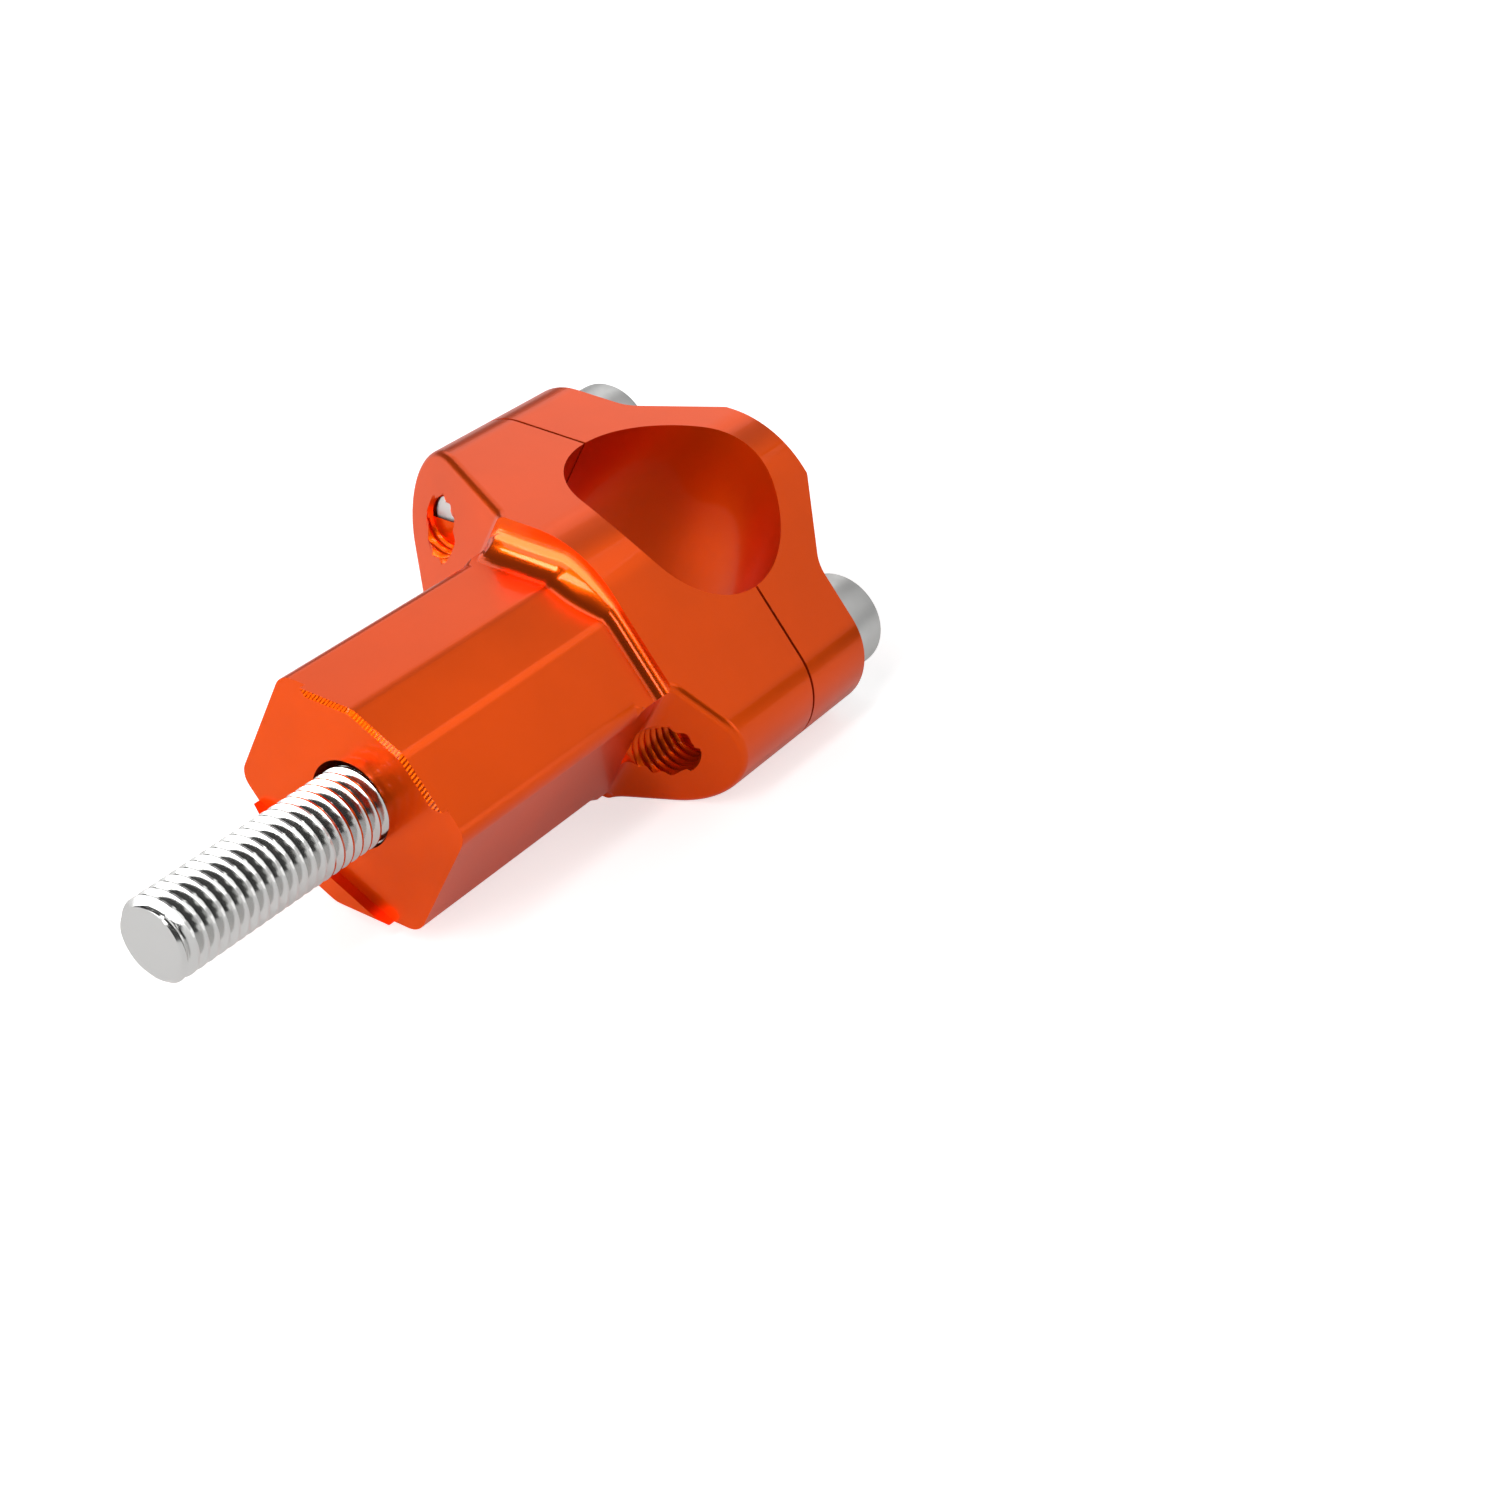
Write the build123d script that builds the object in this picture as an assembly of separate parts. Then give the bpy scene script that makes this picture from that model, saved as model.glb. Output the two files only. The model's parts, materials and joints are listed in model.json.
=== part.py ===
from build123d import *
from math import asin, atan2, cos, degrees, hypot, radians, sin, tan
import os

# Handlebar riser with a two-piece bar clamp, machined from bar stock, and its bolts.
# It is drawn with X from bolt to bolt, Y along the post towards the cap and Z along the bar.
# The origin is the bar's centre, on the split. lay() then turns the drawing about Y so that
# the riser lies on the back facet of its head, with +Z up.

# Bar clamp
bar_d = 28.6            # handlebar, 1 1/8 inch
split_gap = 0.4         # left between the halves when they grip the bar
bolt_spacing = 40.5     # between the two cap bolts
lug_end_r = 8.6         # round ends, about the cap bolts
head_depth = 34.0       # along the bar, over the crowned ridges
ridge_r = 15.0          # crown of the front and back ridges
shoulder_drop = 22.0    # bar centre to the shoulder above the post
shoulder_r = 1.8        # fillet where the post's facets meet the shoulder
underside_angle = 31.8  # slope of the lugs' undersides
underside_r = 3.0       # fillet between a lug's underside and the post's side
underside_edge_r = 1.2  # rounded rim of a lug's underside
cap_wall = 5.5          # cap over the bar, at the flat crown and at the flanks
flank_angle = 38.7      # slope of the cap's flanks
cap_lug_height = 12.2   # split to the seats of the cap bolts
seat_r = 4.0            # fillet between a flank and its bolt seat
crown_edge_r = 0.8      # softened edge between crown and flank

# Post and foot
post_offset = 3.5       # post and mounting bolt lie off the bar's centre
post_width = 28.0
shoulder_step = 4.0     # the head stands out past the post, front and back
post_flat = 7.8         # middle flat of the front and back
post_edge_r = 3.0       # soft edge between the middle flat and a side facet
post_corner_r = 2.5     # between a side facet and the side
foot_drop = 59.0        # bar centre to the floor of the foot's channel
lip_width = 3.0         # front and back lips beside the foot's channel
lip_height = 1.4
lip_chamfer = 0.5

# Cap bolts, M8
cap_bolt_d = 8.0
cap_bolt_head_d = 13.0
cap_bolt_head_h = 8.0
cap_bolt_length = 25.0
cap_bolt_thread = 22.0
cap_bolt_thread_d = 7.9
cap_bolt_key = 6.0      # hexagon socket, across flats
cap_bolt_key_depth = 4.0
cap_bolt_hole_d = 9.0   # clearance hole in the cap
cap_bolt_head_play = 0.5  # round the head, where its seat is faced into the flank
tap_past_shoulder = 2.0  # the tapped holes end this far below the shoulder

# Mounting bolt, M10
mount_bolt_d = 10.0
mount_bolt_head_d = 16.0
mount_bolt_head_h = 10.0
mount_bolt_length = 60.0
mount_bolt_thread_d = 9.9
mount_bolt_neck_d = 9.0    # where the rolled thread runs out, next to the shank
mount_bolt_neck = 3.0
mount_bolt_key = 8.0
mount_bolt_key_depth = 5.0
mount_bolt_out = 31.2   # end standing out of the channel's floor
mount_thread_gap = 0.3  # between that floor and the thread's first crest
mount_hole_d = 11.0     # clearance hole
mount_head_play = 0.75  # round the head in its counterbore
rest_play = 0.05        # left under the loose bolt where it rests in its hole

# Every bolt
head_chamfer = 0.5      # rim of the head
tip_chamfer = 0.95      # at the threaded end

# Drawing aids
over = 1.0              # cutters reach this far past the stock
tolerance = 1e-4        # slack when edges and corners are picked by position

# Worked out from the sizes above
bar_r = bar_d / 2
lug_x = bolt_spacing / 2
reach = lug_x + lug_end_r + over
ridge_z = head_depth / 2 - ridge_r
post_left = post_offset - post_width / 2
post_right = post_offset + post_width / 2
post_toe = foot_drop + lip_height
post_depth = head_depth - 2 * shoulder_step
channel_width = post_depth - 2 * lip_width
mount_seat_y = mount_bolt_length - mount_bolt_out - foot_drop
# A head facet is tangent to the ridge's crown and to the lugs' round ends. The post's side
# facets are cut at the same angle.
facet = asin((ridge_r - lug_end_r) / hypot(lug_x, ridge_z)) - atan2(-ridge_z, lug_x)


def lay(piece):
    """Turn a piece from the drawing to where it lies, on the head's back facet."""
    return Rot(0, degrees(facet), 0) * piece


def along_post(section, low, high):
    """Extrude a section drawn square to the post from y = low to y = high."""
    return Pos(0, high, 0) * extrude(Plane.XZ * section, amount=high - low)


def along_bar(profile):
    """Extrude a side view through the whole depth of the head, both ways."""
    return extrude(profile, amount=head_depth, both=True)


def head_section():
    """Head square to the post: round ends, flat facets and two crowned ridges."""
    crown_x = ridge_r * sin(facet)
    crown_z = ridge_z + ridge_r * cos(facet)
    end_x = lug_x + lug_end_r * sin(facet)
    end_z = lug_end_r * cos(facet)
    front = [
        ThreePointArc((-crown_x, crown_z), (0, head_depth / 2), (crown_x, crown_z)),
        Line((crown_x, crown_z), (end_x, end_z)),
        Line((-crown_x, crown_z), (-end_x, end_z)),
    ]
    back = [mirror(edge, Plane.XZ) for edge in front]
    ends = [
        ThreePointArc((side * end_x, end_z), (side * (lug_x + lug_end_r), 0), (side * end_x, -end_z))
        for side in (-1, 1)
    ]
    return make_face(front + back + ends)


def post_stock():
    """What the facet cuts leave of the post's depth, square to the post."""
    half = post_depth / 2
    run = reach + abs(post_offset)
    fall = (run - post_flat / 2) * tan(facet)
    return [(-run, half - fall), (-post_flat / 2, half), (post_flat / 2, half), (run, half - fall)]


def facet_cutter():
    """Stock milled off the post's front: three flats and a rounded end at the shoulder."""
    path = post_stock()
    outside = [(path[-1][0], head_depth), (path[0][0], head_depth)]
    section = make_face(Polyline(*path, *outside, close=True))
    soft = [v for v in section.vertices() if abs(abs(v.X) - post_flat / 2) < tolerance]
    section = fillet(soft, post_edge_r)
    cutter = Pos(post_offset, 0, 0) * along_post(section, -post_toe - over, -shoulder_drop)
    end = cutter.faces().sort_by(Axis.Y)[-1]
    rim = [
        e for e in end.edges()
        if e.center().Z < post_depth and abs(e.center().X - post_offset) < reach
    ]
    return fillet(rim, shoulder_r)


def corner_cutter(side):
    """Stock outside one rounded corner of the post, running out just short of the shoulder."""
    corner_z = post_depth / 2 - (post_width - post_flat) / 2 * tan(facet)
    tangent = post_corner_r * tan((radians(90) - facet) / 2)
    outer_x = post_width / 2
    on_side = (outer_x, corner_z - tangent)
    on_facet = (outer_x - tangent * cos(facet), corner_z + tangent * sin(facet))
    beyond = (outer_x + tangent / 4, corner_z + tangent / 4)
    section = make_face(Polyline(on_side, beyond, on_facet, close=True))
    section -= Pos(outer_x - post_corner_r, corner_z - tangent) * Circle(post_corner_r)
    end = -shoulder_drop - shoulder_r - underside_r
    cutter = along_post(section, -post_toe - over, end)
    tip = Vertex(beyond[0], -shoulder_drop - shoulder_r, beyond[1])
    cutter += loft([Pos(0, end, 0) * (Plane.XZ * section), tip])
    if side < 0:
        cutter = mirror(cutter, Plane.YZ)
    return Pos(post_offset, 0, 0) * cutter


def body_profile():
    """Side view of the body: split, sloping undersides and the post's two sides."""
    rise = tan(radians(underside_angle))
    face = make_face(Polyline(
        (-reach, -split_gap / 2),
        (reach, -split_gap / 2),
        (reach, rise * (reach - post_right) - shoulder_drop),
        (post_right, -shoulder_drop),
        (post_right, -post_toe),
        (post_left, -post_toe),
        (post_left, -shoulder_drop),
        (-reach, rise * (reach + post_left) - shoulder_drop),
        close=True,
    ))
    roots = [v for v in face.vertices() if abs(v.Y + shoulder_drop) < tolerance]
    return fillet(roots, underside_r)


def underside_rim(blank):
    """Outer edges of the two sloping undersides, from the shoulder round each lug's end."""
    undersides = [
        f for f in blank.faces().filter_by(GeomType.PLANE)
        if abs(f.normal_at().Y + cos(radians(underside_angle))) < tolerance
    ]
    return [
        e for f in undersides for e in f.edges()
        if abs(e.center().Z) > tolerance or e.geom_type != GeomType.LINE
    ]


def riser_body():
    """Post, foot and lower half of the bar clamp, in one piece."""
    blank = along_bar(body_profile()) & along_post(head_section(), -post_toe - over, 0)
    blank = fillet(underside_rim(blank), underside_edge_r)
    cutter = facet_cutter()
    blank = blank - cutter - mirror(cutter, Plane.XY)
    for side in (-1, 1):
        corner = corner_cutter(side)
        blank = blank - corner - mirror(corner, Plane.XY)
    toe = blank.faces().sort_by(Axis.Y)[0]
    blank = chamfer(toe.edges(), lip_chamfer)
    channel = Box(post_width + 2 * over, 2 * lip_height, channel_width)
    blank -= Pos(post_offset, -post_toe, 0) * channel
    blank -= Cylinder(bar_r, head_depth + 2 * over)
    tap_end = -shoulder_drop - tap_past_shoulder
    for side in (-1, 1):
        blank -= hole_along_post(side * lug_x, cap_bolt_d / 2, tap_end, over)
    blank -= hole_along_post(post_offset, mount_hole_d / 2, -post_toe - over, mount_seat_y + over)
    counterbore_r = mount_bolt_head_d / 2 + mount_head_play
    return blank - hole_along_post(post_offset, counterbore_r, mount_seat_y, 0)


def hole_along_post(x, r, low, high):
    """Round hole along the post, x from the bar's centre."""
    return along_post(Pos(x, 0) * Circle(r), low, high)


def clamp_cap():
    """Upper half of the bar clamp: flat crown, two flanks and two bolt seats."""
    outer = bar_r + cap_wall
    flank = radians(flank_angle)
    crown_x = outer * tan(flank / 2)
    seat_x = (outer - cap_lug_height * cos(flank)) / sin(flank)
    right = [(reach, split_gap / 2), (reach, cap_lug_height), (seat_x, cap_lug_height), (crown_x, outer)]
    left = [(-x, y) for x, y in reversed(right)]
    face = make_face(Polyline(*right, *left, close=True))
    seats = [v for v in face.vertices() if abs(abs(v.X) - seat_x) < tolerance]
    face = fillet(seats, seat_r)
    edges = [v for v in face.vertices() if abs(abs(v.X) - crown_x) < tolerance]
    face = fillet(edges, crown_edge_r)
    cap = along_bar(face) & along_post(head_section(), 0, outer + over)
    cap -= Cylinder(bar_r, head_depth + 2 * over)
    for side in (-1, 1):
        cap -= hole_along_post(side * lug_x, cap_bolt_hole_d / 2, -over, outer)
        facing_r = cap_bolt_head_d / 2 + cap_bolt_head_play
        cap -= hole_along_post(side * lug_x, facing_r, cap_lug_height, outer)
    return cap


def socket_screw(head_d, head_h, key, key_depth, stem):
    """Socket head cap screw standing on its seat at the origin, head towards +Y.

    The stem is a list of stretches, each with its diameter and length, from the head down.
    """
    profile = [
        (0, head_h),
        (head_d / 2 - head_chamfer, head_h),
        (head_d / 2, head_h - head_chamfer),
        (head_d / 2, 0),
    ]
    y = 0
    for d, length in stem:
        profile += [(d / 2, y), (d / 2, y - length)]
        y -= length
    end_r, end = profile.pop()
    profile += [(end_r, end + tip_chamfer), (end_r - tip_chamfer, end), (0, end)]
    screw = revolve(make_face(Polyline(*profile, close=True)), Axis.Y)
    hexagon = RegularPolygon(key / 2, 6, major_radius=False)
    return screw - along_post(hexagon, head_h - key_depth, head_h + over)


def cap_bolt(side):
    """Bolt through one of the cap's lugs into the tapped lug below it."""
    stem = [(cap_bolt_d, cap_bolt_length - cap_bolt_thread), (cap_bolt_thread_d, cap_bolt_thread)]
    bolt = socket_screw(cap_bolt_head_d, cap_bolt_head_h, cap_bolt_key, cap_bolt_key_depth, stem)
    return Pos(side * lug_x, cap_lug_height, 0) * bolt


def mounting_bolt():
    """Bolt through the post, loose, so it rests on the low side of its hole."""
    thread = mount_bolt_out - mount_thread_gap
    stem = [
        (mount_bolt_d, mount_bolt_length - mount_bolt_neck - thread),
        (mount_bolt_neck_d, mount_bolt_neck),
        (mount_bolt_thread_d, thread),
    ]
    bolt = socket_screw(mount_bolt_head_d, mount_bolt_head_h, mount_bolt_key, mount_bolt_key_depth, stem)
    sag = (mount_hole_d - mount_bolt_d) / 2 - rest_play
    return Pos(post_offset + sag * sin(facet), mount_seat_y, -sag * cos(facet)) * bolt


pieces = {
    "riser_body": riser_body(),
    "clamp_cap": clamp_cap(),
    "cap_bolt_left": cap_bolt(-1),
    "cap_bolt_right": cap_bolt(1),
    "mounting_bolt": mounting_bolt(),
}

os.makedirs("parts", exist_ok=True)
for name, piece in pieces.items():
    export_step(lay(piece), f"parts/{name}.step")
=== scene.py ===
import json
from math import atan2, cos, pi, radians, sin, sqrt, tan

import bpy
from mathutils import Matrix, Vector


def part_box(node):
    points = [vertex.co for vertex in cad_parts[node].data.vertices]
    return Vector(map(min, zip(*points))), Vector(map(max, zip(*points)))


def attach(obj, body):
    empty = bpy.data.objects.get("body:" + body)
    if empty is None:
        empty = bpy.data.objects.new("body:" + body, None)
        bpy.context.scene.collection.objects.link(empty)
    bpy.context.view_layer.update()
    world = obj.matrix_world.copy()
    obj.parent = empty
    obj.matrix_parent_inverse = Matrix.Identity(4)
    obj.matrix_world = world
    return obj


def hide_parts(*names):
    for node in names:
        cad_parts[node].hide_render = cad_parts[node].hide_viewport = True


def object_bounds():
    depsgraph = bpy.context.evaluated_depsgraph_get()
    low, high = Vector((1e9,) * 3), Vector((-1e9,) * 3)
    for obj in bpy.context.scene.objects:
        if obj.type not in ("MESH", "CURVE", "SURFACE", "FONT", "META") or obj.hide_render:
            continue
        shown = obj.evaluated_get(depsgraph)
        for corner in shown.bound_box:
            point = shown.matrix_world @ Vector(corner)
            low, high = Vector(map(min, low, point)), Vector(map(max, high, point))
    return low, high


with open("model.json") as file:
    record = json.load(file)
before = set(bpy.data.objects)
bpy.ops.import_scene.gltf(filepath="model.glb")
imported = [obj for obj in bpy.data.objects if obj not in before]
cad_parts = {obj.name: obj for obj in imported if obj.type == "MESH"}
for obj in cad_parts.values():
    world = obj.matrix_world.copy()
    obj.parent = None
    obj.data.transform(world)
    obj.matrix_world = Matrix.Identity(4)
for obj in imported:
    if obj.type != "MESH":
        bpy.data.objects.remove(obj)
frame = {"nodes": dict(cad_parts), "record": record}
cad_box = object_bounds()

# The camera stands at the photograph's place: before the bolt's threaded end and to its
# right, looking down along the post towards the bar clamp.
camera_place = Vector((0.16652, -0.23910, 0.15915))
camera_aim = Vector((0.01939, -0.00203, -0.01708))
camera_roll = radians(2.58)
camera_lens = 62.6  # mm on a 36 mm wide sensor

camera_data = bpy.data.cameras.new("Camera")
camera_data.lens = camera_lens
camera_data.sensor_width = 36.0
camera_data.clip_start = 0.01
camera = bpy.data.objects.new("Camera", camera_data)
bpy.context.scene.collection.objects.link(camera)
camera.location = camera_place
look = (camera_aim - camera_place).to_track_quat("-Z", "Y").to_matrix()
camera.rotation_euler = (look @ Matrix.Rotation(camera_roll, 3, "Z")).to_euler()
bpy.context.scene.camera = camera


# Riser body: post, foot and lower half of the bar clamp, milled from one bar of aluminium and
# lying on the back facet of its head. Every edge is lightly broken before anodising, the rim
# of the foot's lips keeps the cutter's ticks, and a ball cutter leaves the cove shiny.
mounts = {mount["name"]: mount for mount in frame["record"]["mounts"]}
bar_axis = Vector(mounts["bar_bore"]["axis"])
bar_r = mounts["bar_bore"]["dims"]["r_mm"] / 1000
lean = atan2(bar_axis.x, bar_axis.z)  # from upright to that facet
broken_edge = 0.0002
edge_steps = 2
sharp_angle = radians(30)
smooth_angle = radians(32)
weld = 0.000001
post_left, post_right = -0.0105, 0.0175
post_edges = (0.000237, 0.006763)
post_edge_r = 0.003
post_edge_z = 0.010
ridge_r = 0.015
ridge_z = 0.017
shoulder_drop = 0.022
packed_cove_r = 0.0018
cove_r = 0.0038
cove_stations = (-0.0096, -0.008, -0.005, 0.0025, 0.0045, 0.012)
facet_low = 0.008
lip_face_y = -0.0604
lip_rim = 0.0006
hair = 0.00001

# Orange anodising: a thin clear oxide, dyed orange, over lightly blasted aluminium. Bored and
# milled faces keep the tool's fine lines under it.
anodised_orange = (0.85, 0.082, 0.0012, 1.0)


def tool_marks_group():
    """Fine lines left by a tool: evenly spaced along one coordinate, with uneven depth."""
    group = bpy.data.node_groups.new("Tool marks", "ShaderNodeTree")
    for name, kind in (("Along", "Float"), ("Place", "Vector"), ("Pitch", "Float")):
        group.interface.new_socket(name, in_out="INPUT", socket_type="NodeSocket" + kind)
    group.interface.new_socket("Height", in_out="OUTPUT", socket_type="NodeSocketFloat")
    nodes, links = group.nodes, group.links
    given = nodes.new("NodeGroupInput")
    result = nodes.new("NodeGroupOutput")
    turns = nodes.new("ShaderNodeMath")
    turns.operation = "DIVIDE"
    links.new(given.outputs["Along"], turns.inputs[0])
    links.new(given.outputs["Pitch"], turns.inputs[1])
    wave = nodes.new("ShaderNodeMath")
    wave.operation = "SINE"
    round_trip = nodes.new("ShaderNodeMath")
    round_trip.operation = "MULTIPLY"
    round_trip.inputs[1].default_value = 2 * pi
    links.new(turns.outputs[0], round_trip.inputs[0])
    links.new(round_trip.outputs[0], wave.inputs[0])
    uneven = nodes.new("ShaderNodeTexNoise")
    uneven.inputs["Scale"].default_value = 900.0
    uneven.inputs["Detail"].default_value = 3.0
    links.new(given.outputs["Place"], uneven.inputs["Vector"])
    depth = nodes.new("ShaderNodeMath")
    depth.operation = "MULTIPLY"
    links.new(wave.outputs[0], depth.inputs[0])
    links.new(uneven.outputs["Fac"], depth.inputs[1])
    links.new(depth.outputs[0], result.inputs["Height"])
    return group


tool_marks = tool_marks_group()


def anodised(name, along, pitch, depth, roughness=0.295, coat=0.18):
    """Orange anodised aluminium, with tool marks along one drawing coordinate if it has any."""
    material = bpy.data.materials.new(name)
    material.use_nodes = True
    nodes, links = material.node_tree.nodes, material.node_tree.links
    shader = nodes["Principled BSDF"]
    shader.inputs["Metallic"].default_value = 0.85
    shader.inputs["Specular IOR Level"].default_value = 0.0
    shader.inputs["Coat Weight"].default_value = coat
    shader.inputs["Coat Roughness"].default_value = 0.05
    shader.inputs["Coat IOR"].default_value = 1.5
    place = nodes.new("ShaderNodeTexCoord")
    drawing = nodes.new("ShaderNodeMapping")
    drawing.inputs["Rotation"].default_value = (0.0, -lean, 0.0)
    links.new(place.outputs["Object"], drawing.inputs["Vector"])

    cloud = nodes.new("ShaderNodeTexNoise")
    cloud.inputs["Scale"].default_value = 60.0
    cloud.inputs["Detail"].default_value = 4.0
    links.new(drawing.outputs["Vector"], cloud.inputs["Vector"])
    tone = nodes.new("ShaderNodeValToRGB")
    tone.color_ramp.elements[0].position = 0.3
    tone.color_ramp.elements[0].color = [0.93 * c for c in anodised_orange[:3]] + [1.0]
    tone.color_ramp.elements[1].position = 0.7
    tone.color_ramp.elements[1].color = [min(1.0, 1.05 * c) for c in anodised_orange[:3]] + [1.0]
    links.new(cloud.outputs["Fac"], tone.inputs["Fac"])
    links.new(tone.outputs["Color"], shader.inputs["Base Color"])

    satin = nodes.new("ShaderNodeMapRange")
    satin.inputs["To Min"].default_value = 0.88 * roughness
    satin.inputs["To Max"].default_value = 1.12 * roughness
    links.new(cloud.outputs["Fac"], satin.inputs["Value"])
    links.new(satin.outputs["Result"], shader.inputs["Roughness"])

    blasted = nodes.new("ShaderNodeTexNoise")
    blasted.inputs["Scale"].default_value = 9000.0
    blasted.inputs["Detail"].default_value = 2.0
    links.new(drawing.outputs["Vector"], blasted.inputs["Vector"])
    grain = nodes.new("ShaderNodeBump")
    grain.inputs["Strength"].default_value = 0.15
    grain.inputs["Distance"].default_value = 0.00002
    links.new(blasted.outputs["Fac"], grain.inputs["Height"])
    links.new(grain.outputs["Normal"], shader.inputs["Normal"])
    if along is None:
        return material

    split = nodes.new("ShaderNodeSeparateXYZ")
    links.new(drawing.outputs["Vector"], split.inputs["Vector"])
    marks = nodes.new("ShaderNodeGroup")
    marks.node_tree = tool_marks
    marks.inputs["Pitch"].default_value = pitch
    links.new(split.outputs[along], marks.inputs["Along"])
    links.new(drawing.outputs["Vector"], marks.inputs["Place"])
    lines = nodes.new("ShaderNodeBump")
    lines.inputs["Strength"].default_value = 1.0
    lines.inputs["Distance"].default_value = depth
    links.new(marks.outputs["Height"], lines.inputs["Height"])
    links.new(grain.outputs["Normal"], lines.inputs["Normal"])
    links.new(lines.outputs["Normal"], shader.inputs["Normal"])
    return material


satin_faces = anodised("Anodised satin face", None, 0.0, 0.0)
bored_faces = anodised("Anodised bore", "Z", 0.00022, 0.0000022)
ticked_edges = anodised("Anodised ticked edge", "X", 0.00045, 0.00004)
cove_face = anodised("Anodised cove", None, 0.0, 0.0, roughness=0.22, coat=0.5)


def machined_copy(node, name):
    """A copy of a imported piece, with its loose triangles merged into whole faces."""
    bpy.ops.object.select_all(action="DESELECT")
    packed = frame["nodes"][node]
    piece = bpy.data.objects.new(name, packed.data.copy())
    bpy.context.scene.collection.objects.link(piece)
    piece.select_set(True)
    bpy.context.view_layer.objects.active = piece
    bpy.ops.object.mode_set(mode="EDIT")
    bpy.ops.mesh.select_all(action="SELECT")
    bpy.ops.mesh.remove_doubles(threshold=weld)
    bpy.ops.mesh.dissolve_limited(angle_limit=radians(0.3))
    bpy.ops.object.mode_set(mode="OBJECT")
    return piece


def break_edges(piece):
    """Break a piece's sharp edges and shade its round faces smooth."""
    bevel = piece.modifiers.new("Broken edges", "BEVEL")
    bevel.width = broken_edge
    bevel.segments = edge_steps
    bevel.limit_method = "ANGLE"
    bevel.angle_limit = sharp_angle
    bpy.ops.object.modifier_apply(modifier=bevel.name)
    bpy.ops.object.shade_smooth_by_angle(angle=smooth_angle)
    flatten = piece.modifiers.new("Flat faces stay flat", "WEIGHTED_NORMAL")
    flatten.mode = "FACE_AREA"
    flatten.weight = 90
    flatten.keep_sharp = True
    bpy.ops.object.modifier_apply(modifier=flatten.name)


def head_front(x):
    """Height of the head's front over a place across it: a rounded ridge between two facets."""
    tangent = ridge_r * sin(lean)
    if abs(x) < tangent:
        return ridge_z - ridge_r + sqrt(ridge_r ** 2 - x ** 2)
    return ridge_z - ridge_r + ridge_r * cos(lean) - (abs(x) - tangent) * tan(lean)


def deepen_cove(piece):
    """Widen the cove over the post's upper facets as far as the step of the shoulder lets it."""
    mesh = piece.data
    turn = Matrix.Rotation(-lean, 3, "Y")
    back = Matrix.Rotation(lean, 3, "Y")
    foot = -shoulder_drop - packed_cove_r
    end_margin = 0.0001
    arc_slack = 0.00012
    for place in cove_stations:
        bpy.ops.object.mode_set(mode="OBJECT")
        for face in mesh.polygons:
            height = (turn @ face.center).z
            face.select = foot < face.center.y < -shoulder_drop - hair and height > facet_low
        bpy.ops.object.mode_set(mode="EDIT")
        bpy.ops.mesh.select_mode(type="FACE")
        station = back @ Vector((place, 0, 0))
        across = back @ Vector((1, 0, 0))
        bpy.ops.mesh.bisect(plane_co=station, plane_no=across)
    bpy.ops.object.mode_set(mode="OBJECT")
    for vertex in mesh.vertices:
        point = turn @ vertex.co
        drop = -shoulder_drop - point.y
        if point.z < 0 or not -hair < drop < packed_cove_r + hair:
            continue
        if not post_left + end_margin < point.x < post_right - end_margin:
            continue
        centre = min(max(point.x, post_edges[0]), post_edges[1])
        swing = atan2(point.x - centre, point.z - post_edge_z)
        swing = min(max(swing, -lean), lean)
        out = Vector((sin(swing), 0, cos(swing)))
        inset = out.dot(point - Vector((centre, 0, post_edge_z))) - post_edge_r
        rise = packed_cove_r - min(max(drop, 0.0), packed_cove_r)
        if abs(inset - packed_cove_r + sqrt(packed_cove_r ** 2 - rise ** 2)) > arc_slack:
            continue
        root = point - inset * out
        # How far the shoulder's step reaches out from here, found in a few closer tries.
        step = 0.0
        for closer_try in range(4):
            step = (head_front(root.x + step * out.x) - root.z) / out.z
        growth = max(0.0, min(cove_r, step - end_margin) / packed_cove_r - 1)
        point += growth * inset * out
        point.y -= growth * drop
        vertex.co = back @ point


def dress_anodised(piece):
    """Give the bore, the lips' rims and the cove their own finish, and all others the satin one."""
    piece.data.materials.clear()
    for material in (satin_faces, bored_faces, ticked_edges, cove_face):
        piece.data.materials.append(material)
    turn = Matrix.Rotation(-lean, 3, "Y")
    for face in piece.data.polygons:
        centre = turn @ face.center
        normal = turn @ face.normal
        below_shoulder = -shoulder_drop - centre.y
        face.material_index = 0
        # Faces square to the bar's axis or along the post stay satin, inside these places too.
        if abs(sqrt(centre.x ** 2 + centre.y ** 2) - bar_r) < broken_edge and abs(normal.z) < 0.1:
            face.material_index = 1
        elif centre.y < lip_face_y + lip_rim and -0.95 < normal.y < -0.3:
            face.material_index = 2
        elif 0 < below_shoulder < cove_r and centre.z > facet_low and -0.99 < normal.y < -0.05:
            face.material_index = 3


riser_body = machined_copy("riser_body", "riser_body_milled")
deepen_cove(riser_body)
break_edges(riser_body)

# The two lugs are tapped M8 right through. The thread shows below each cap bolt's end.
thread_steps = 72
tap_pitch = 0.00125
tap_turns = 10
tap_root_r = 0.00412
tap_flank_r = 0.00398
tap_crest_r = 0.0035
tap_bottom = -0.0237
tap_top = -0.0131
underside_slope = 0.62


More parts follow.
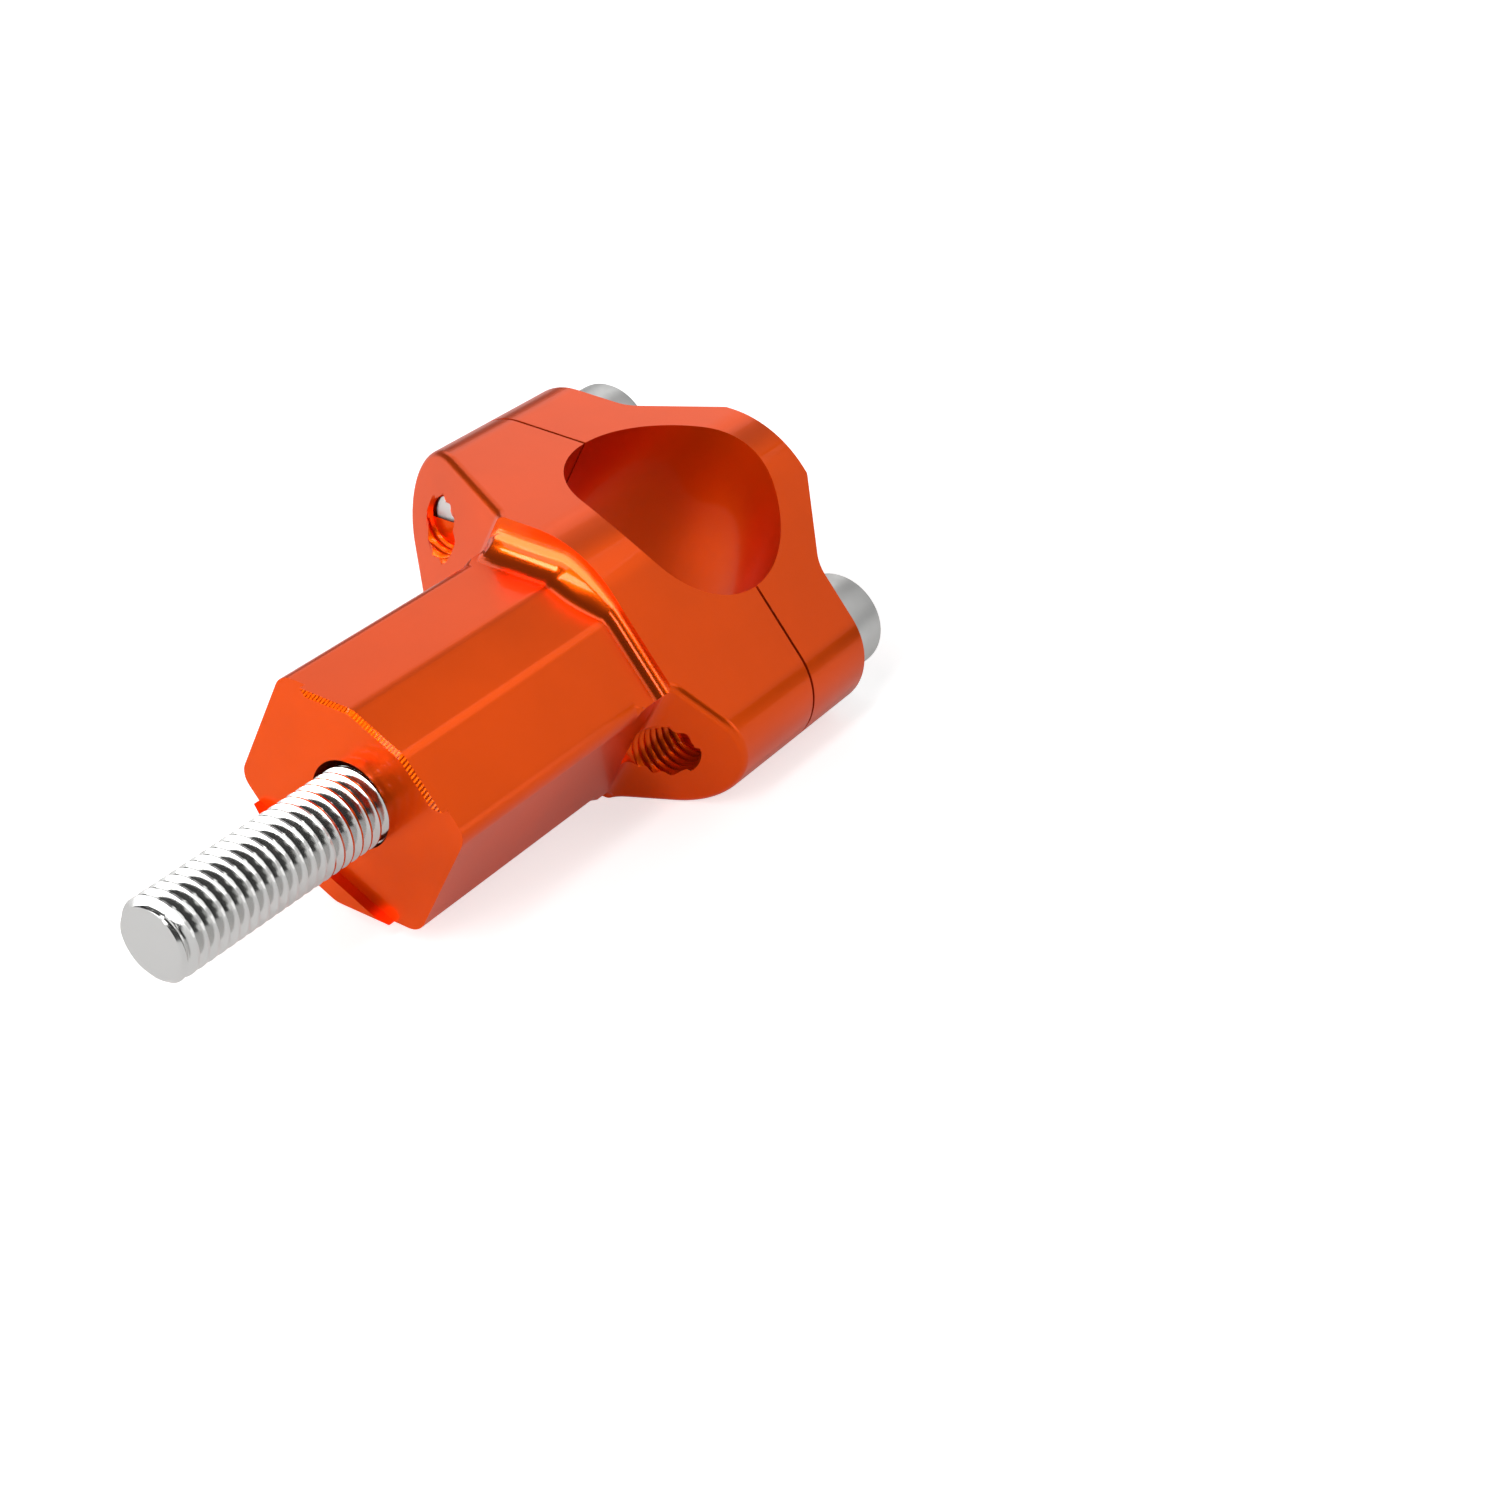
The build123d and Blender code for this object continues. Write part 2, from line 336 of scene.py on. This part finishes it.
def thread_coil(name, outline, pitch, turns, closed):
    """Draw a thread's outline from (radius, height) pairs and sweep it up a helix."""
    bpy.ops.object.select_all(action="DESELECT")
    bpy.ops.mesh.primitive_plane_add(size=0.001, location=(outline[0][0], 0.0, outline[0][1]))
    coil = bpy.context.object
    coil.name = name
    bpy.ops.object.transform_apply(location=True, rotation=False, scale=False)
    bpy.ops.object.mode_set(mode="EDIT")
    bpy.ops.mesh.select_mode(type="VERT")
    bpy.ops.mesh.merge(type="CENTER")
    for here, there in zip(outline, outline[1:]):
        step = (there[0] - here[0], 0.0, there[1] - here[1])
        bpy.ops.mesh.extrude_vertices_move(TRANSFORM_OT_translate={"value": step})
    if closed:
        bpy.ops.mesh.select_all(action="SELECT")
        bpy.ops.mesh.edge_face_add()
        bpy.ops.mesh.delete(type="ONLY_FACE")
    bpy.ops.object.mode_set(mode="OBJECT")
    screw = coil.modifiers.new("Thread", "SCREW")
    screw.angle = 2 * pi
    screw.screw_offset = pitch
    screw.iterations = turns
    screw.steps = thread_steps
    screw.render_steps = thread_steps
    bpy.ops.object.modifier_apply(modifier=screw.name)
    bpy.ops.object.mode_set(mode="EDIT")
    bpy.ops.mesh.select_all(action="SELECT")
    bpy.ops.mesh.remove_doubles(threshold=weld)
    bpy.ops.object.mode_set(mode="OBJECT")
    return coil


def tapped_thread(side, edge, slope):
    """The ridges of a lug's thread, cut off flush with the lug's sloping underside."""
    ridge = [
        (tap_root_r, -0.45 * tap_pitch), (tap_flank_r, -0.42 * tap_pitch),
        (tap_crest_r, -0.07 * tap_pitch), (tap_crest_r, 0.07 * tap_pitch),
        (tap_flank_r, 0.42 * tap_pitch), (tap_root_r, 0.45 * tap_pitch),
    ]
    thread = thread_coil(f"lug_thread_{side}", ridge, tap_pitch, tap_turns, closed=True)
    low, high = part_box(f"cap_bolt_{side}")
    axis = (low + high) / 2
    place = Matrix.Translation((axis.x, tap_bottom, axis.z))
    thread.data.transform(place @ Matrix.Rotation(-pi / 2, 4, "X"))
    turn = Matrix.Rotation(lean, 3, "Y")
    underside = turn @ Vector((edge, -shoulder_drop, 0))
    underside_normal = turn @ Vector((slope, 1, 0))
    bpy.ops.object.mode_set(mode="EDIT")
    bpy.ops.mesh.select_all(action="SELECT")
    bpy.ops.mesh.bisect(plane_co=(0, tap_top, 0), plane_no=(0, 1, 0), use_fill=True, clear_outer=True)
    bpy.ops.mesh.select_all(action="SELECT")
    bpy.ops.mesh.bisect(plane_co=underside, plane_no=underside_normal, use_fill=True, clear_inner=True)
    bpy.ops.mesh.select_all(action="SELECT")
    bpy.ops.mesh.normals_make_consistent(inside=False)
    bpy.ops.object.mode_set(mode="OBJECT")
    bpy.ops.object.shade_smooth_by_angle(angle=smooth_angle)
    return thread


left_thread = tapped_thread("left", post_left, underside_slope)
right_thread = tapped_thread("right", post_right, -underside_slope)
bpy.ops.object.select_all(action="DESELECT")
for part in (left_thread, right_thread, riser_body):
    part.select_set(True)
bpy.context.view_layer.objects.active = riser_body
bpy.ops.object.join()
dress_anodised(riser_body)
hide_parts("riser_body")
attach(riser_body, "root")

# Clamp cap: upper half of the bar clamp, milled from the same bar as the body and split
# from it along the bar's centre before the bore was finished.
clamp_cap = machined_copy("clamp_cap", "clamp_cap_milled")
break_edges(clamp_cap)
dress_anodised(clamp_cap)
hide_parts("clamp_cap")
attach(clamp_cap, "root")


# Mounting bolt: M10 socket head cap screw with rolled threads, bright zinc plated. It goes in
# from the bar's side, so its head is hidden and its whole thread stands out of the foot.
plate_bright = (0.64, 0.64, 0.63, 1.0)
mount_thread = dict(d=0.0100, pitch=0.0015, length=0.032)
mount_head = dict(d=0.016, h=0.010, key=0.008, key_depth=0.005)
mount_tip_r = 0.00403
rolled_relief = 0.00003
overlap = 0.0002
end_depth = 0.0006
end_rise = 0.00015
head_round = 0.0006


def bright_plate(name, roughness):
    """Bright zinc plate: a clean mirror-like metal with faint smears."""
    material = bpy.data.materials.new(name)
    material.use_nodes = True
    nodes, links = material.node_tree.nodes, material.node_tree.links
    shader = nodes["Principled BSDF"]
    shader.inputs["Base Color"].default_value = plate_bright
    shader.inputs["Metallic"].default_value = 1.0
    place = nodes.new("ShaderNodeTexCoord")
    smear = nodes.new("ShaderNodeTexNoise")
    smear.inputs["Scale"].default_value = 700.0
    smear.inputs["Detail"].default_value = 3.0
    links.new(place.outputs["Object"], smear.inputs["Vector"])
    gloss = nodes.new("ShaderNodeMapRange")
    gloss.inputs["To Min"].default_value = roughness * 0.7
    gloss.inputs["To Max"].default_value = roughness * 1.4
    links.new(smear.outputs["Fac"], gloss.inputs["Value"])
    links.new(gloss.outputs["Result"], shader.inputs["Roughness"])
    dent = nodes.new("ShaderNodeBump")
    dent.inputs["Strength"].default_value = 0.25
    dent.inputs["Distance"].default_value = 0.00002
    links.new(smear.outputs["Fac"], dent.inputs["Height"])
    links.new(dent.outputs["Normal"], shader.inputs["Normal"])
    return material


rolled_plate = bright_plate("Bright zinc plate on rolled thread", 0.14)


def cut_flat(height, keep_above):
    """Cut the active piece square at a height, close the cut and drop the far side."""
    bpy.ops.object.mode_set(mode="EDIT")
    bpy.ops.mesh.select_all(action="SELECT")
    bpy.ops.mesh.bisect(
        plane_co=(0, 0, height), plane_no=(0, 0, 1), use_fill=True,
        clear_inner=keep_above, clear_outer=not keep_above, threshold=0.0000005)
    bpy.ops.object.mode_set(mode="OBJECT")


def socket_screw(name, node, thread, head, tip_r, plate):
    """A socket head cap screw over a packed one, with rolled threads and a turned tip."""
    low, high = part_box(node)
    seat = high.y - head["h"]
    length = seat - low.y
    d, pitch = thread["d"], thread["pitch"]
    crest = d / 2 - rolled_relief
    root = d / 2 - 0.60 * pitch
    # One turn in parts of the pitch: a rounded root, two flanks and a narrow crest.
    outline = [
        (root, -0.07 * pitch), (root, 0.07 * pitch), (root + 0.06 * pitch, 0.13 * pitch),
        (crest, 0.41 * pitch), (crest, 0.59 * pitch), (root + 0.06 * pitch, 0.87 * pitch),
        (root, 0.93 * pitch),
    ]
    turns = int(thread["length"] / pitch) + 3
    screw = thread_coil(name, outline, pitch, turns, closed=False)
    # The tip is turned to a cone, which takes the first threads with it.
    tip_z = pitch * 1.2
    tip_flare = 1.1
    cut_flat(tip_z + overlap, keep_above=True)
    cut_flat(tip_z + thread["length"], keep_above=False)
    for vertex in screw.data.vertices:
        radius = sqrt(vertex.co.x ** 2 + vertex.co.y ** 2)
        limit = tip_r + (vertex.co.z - tip_z) * tip_flare
        if radius > limit:
            vertex.co.x *= limit / radius
            vertex.co.y *= limit / radius
        vertex.co.z -= tip_z + length
    # The end is faced off and dished: a rim, a flat, a step down and a shallow hollow.
    bpy.ops.mesh.primitive_cylinder_add(vertices=96, radius=root - rolled_relief, depth=end_depth,
                                        location=(0, 0, end_rise - length + end_depth / 2))
    tip = bpy.context.object
    for face in tip.data.polygons:
        face.select = face.normal.z < -0.9
    bpy.ops.object.mode_set(mode="EDIT")
    bpy.ops.mesh.select_mode(type="FACE")
    bpy.ops.mesh.inset(thickness=d * 0.02, depth=end_rise)
    bpy.ops.mesh.inset(thickness=d * 0.045)
    bpy.ops.mesh.inset(thickness=d * 0.025, depth=-d * 0.025)
    bpy.ops.mesh.inset(thickness=d * 0.1, depth=-d * 0.01)
    bpy.ops.object.mode_set(mode="OBJECT")

    plain = length - thread["length"]
    bpy.ops.mesh.primitive_cylinder_add(vertices=96, radius=d / 2 * 0.99, depth=plain + overlap,
                                        location=(0, 0, -plain / 2))
    shank = bpy.context.object
    bpy.ops.mesh.primitive_cylinder_add(vertices=128, radius=head["d"] / 2, depth=head["h"],
                                        location=(0, 0, head["h"] / 2))
    cap = bpy.context.object
    bpy.ops.object.mode_set(mode="EDIT")
    bpy.ops.mesh.select_all(action="DESELECT")
    bpy.ops.object.mode_set(mode="OBJECT")
    for edge in cap.data.edges:
        ends = [cap.data.vertices[i].co for i in edge.vertices]
        edge.select = min(end.z for end in ends) > head["h"] / 2 - hair
    bpy.ops.object.mode_set(mode="EDIT")
    bpy.ops.mesh.select_mode(type="EDGE")
    bpy.ops.mesh.bevel(offset=head_round, segments=5, profile=0.5)
    bpy.ops.object.mode_set(mode="OBJECT")
    bpy.ops.mesh.primitive_cylinder_add(vertices=6, radius=head["key"] / sqrt(3),
                                        depth=head["key_depth"] * 2, location=(0, 0, head["h"]))
    key = bpy.context.object
    socket = cap.modifiers.new("Socket", "BOOLEAN")
    socket.operation = "DIFFERENCE"
    socket.object = key
    bpy.context.view_layer.objects.active = cap
    bpy.ops.object.modifier_apply(modifier=socket.name)
    bpy.data.objects.remove(key)

    bpy.ops.object.select_all(action="DESELECT")
    for part in (tip, shank, cap, screw):
        part.select_set(True)
    bpy.context.view_layer.objects.active = screw
    bpy.ops.object.join()
    axis = (low + high) / 2
    place = Matrix.Translation((axis.x, seat, axis.z))
    screw.data.transform(place @ Matrix.Rotation(-pi / 2, 4, "X"))
    bpy.ops.object.mode_set(mode="EDIT")
    bpy.ops.mesh.select_all(action="SELECT")
    bpy.ops.mesh.normals_make_consistent(inside=False)
    bpy.ops.object.mode_set(mode="OBJECT")
    bpy.ops.object.shade_smooth_by_angle(angle=radians(40))
    screw.data.materials.clear()
    screw.data.materials.append(plate)
    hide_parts(node)
    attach(screw, "root")


socket_screw(
    "mounting_bolt_threaded", "mounting_bolt", mount_thread, mount_head, mount_tip_r, rolled_plate)

# Cap bolts: two M8 socket head cap screws, plated like the mounting bolt, which pull the cap
# down on the bar. Their ends stop a few threads short of the lugs' undersides.
cap_thread = dict(d=0.0079, pitch=0.00125, length=0.0245)
cap_head = dict(d=0.013, h=0.008, key=0.006, key_depth=0.004)
cap_tip_r = 0.0031
satin_plate = bright_plate("Satin zinc plate", 0.4)
for side in ("left", "right"):
    bolt = f"cap_bolt_{side}"
    socket_screw(bolt + "_threaded", bolt, cap_thread, cap_head, cap_tip_r, satin_plate)


# Studio: a white table that runs on as the background, a long low light and small bright ones
# in front, and dimmer cards behind, which the upper facets mirror towards the camera.
floor_z = cad_box[0][2]
table_white = (0.72, 0.72, 0.72, 1.0)
mirrored_share = 0.27
table_glow = 0.65
riser_middle = Vector((0.01, -0.03, 0.0))
lamp_distance = 0.9
bpy.ops.mesh.primitive_plane_add(size=6.0, location=(0, 0, floor_z))
floor = bpy.context.object
floor.name = "floor"
table = bpy.data.materials.new("White table")
table.use_nodes = True
table_nodes, table_links = table.node_tree.nodes, table.node_tree.links
table_shader = table_nodes["Principled BSDF"]
table_shader.inputs["Base Color"].default_value = table_white
table_shader.inputs["Roughness"].default_value = 0.55
table_shader.inputs["Specular IOR Level"].default_value = 0.25
table_light = table_nodes.new("ShaderNodeLightPath")
mirrored = table_nodes.new("ShaderNodeMath")
mirrored.operation = "MAXIMUM"
table_links.new(table_light.outputs["Is Glossy Ray"], mirrored.inputs[0])
table_links.new(table_light.outputs["Is Transmission Ray"], mirrored.inputs[1])
seen = table_nodes.new("ShaderNodeMath")
seen.operation = "MULTIPLY_ADD"
seen.inputs[1].default_value = mirrored_share
table_links.new(mirrored.outputs[0], seen.inputs[0])
table_links.new(table_light.outputs["Is Camera Ray"], seen.inputs[2])
lift = table_nodes.new("ShaderNodeMath")
lift.operation = "MULTIPLY"
lift.inputs[1].default_value = table_glow
table_links.new(seen.outputs[0], lift.inputs[0])
table_shader.inputs["Emission Color"].default_value = (1.0, 1.0, 1.0, 1.0)
table_links.new(lift.outputs[0], table_shader.inputs["Emission Strength"])
floor.data.materials.append(table)


def softbox(name, azimuth, height, size, brightness):
    """A softbox by its direction from the riser in degrees, its size and how bright it looks."""
    data = bpy.data.lights.new(name, "AREA")
    data.shape = "RECTANGLE"
    data.size, data.size_y = size
    data.energy = brightness * pi * size[0] * size[1]
    lamp = bpy.data.objects.new(name, data)
    bpy.context.scene.collection.objects.link(lamp)
    across, up = radians(azimuth), radians(height)
    way = Vector((sin(across) * cos(up), -cos(across) * cos(up), sin(up)))
    lamp.location = riser_middle + lamp_distance * way
    lamp.rotation_euler = (-way).to_track_quat("-Z", "Y").to_euler()


softbox("Long low panel", 328, 9, (1.5, 0.45), 4.8)
softbox("Front softbox", 335, 29, (0.5, 0.3), 2.3)
softbox("Key light", 316, 47, (0.2, 0.2), 11.0)
softbox("Tall front light", 5, 50, (0.14, 0.8), 8.0)
softbox("Small front light", 38, 27, (0.16, 0.16), 5.0)
softbox("Right low card", 118, 6, (0.5, 0.3), 1.3)
softbox("Back right softbox", 135, 26, (0.75, 0.4), 0.75)
softbox("Back right top card", 148, 50, (0.5, 0.45), 1.35)
softbox("Back left softbox", 225, 28, (0.8, 0.45), 1.05)
softbox("Back top card", 192, 46, (0.6, 0.4), 0.5)
softbox("Back low card", 195, 8, (0.8, 0.3), 0.6)

world = bpy.data.worlds.new("Studio")
bpy.context.scene.world = world
world.use_nodes = True
sky_nodes, sky_links = world.node_tree.nodes, world.node_tree.links
background = sky_nodes["Background"]
background.inputs["Color"].default_value = (1, 1, 1, 1)
background.inputs["Strength"].default_value = 0.06

bpy.context.scene.view_settings.view_transform = "Standard"
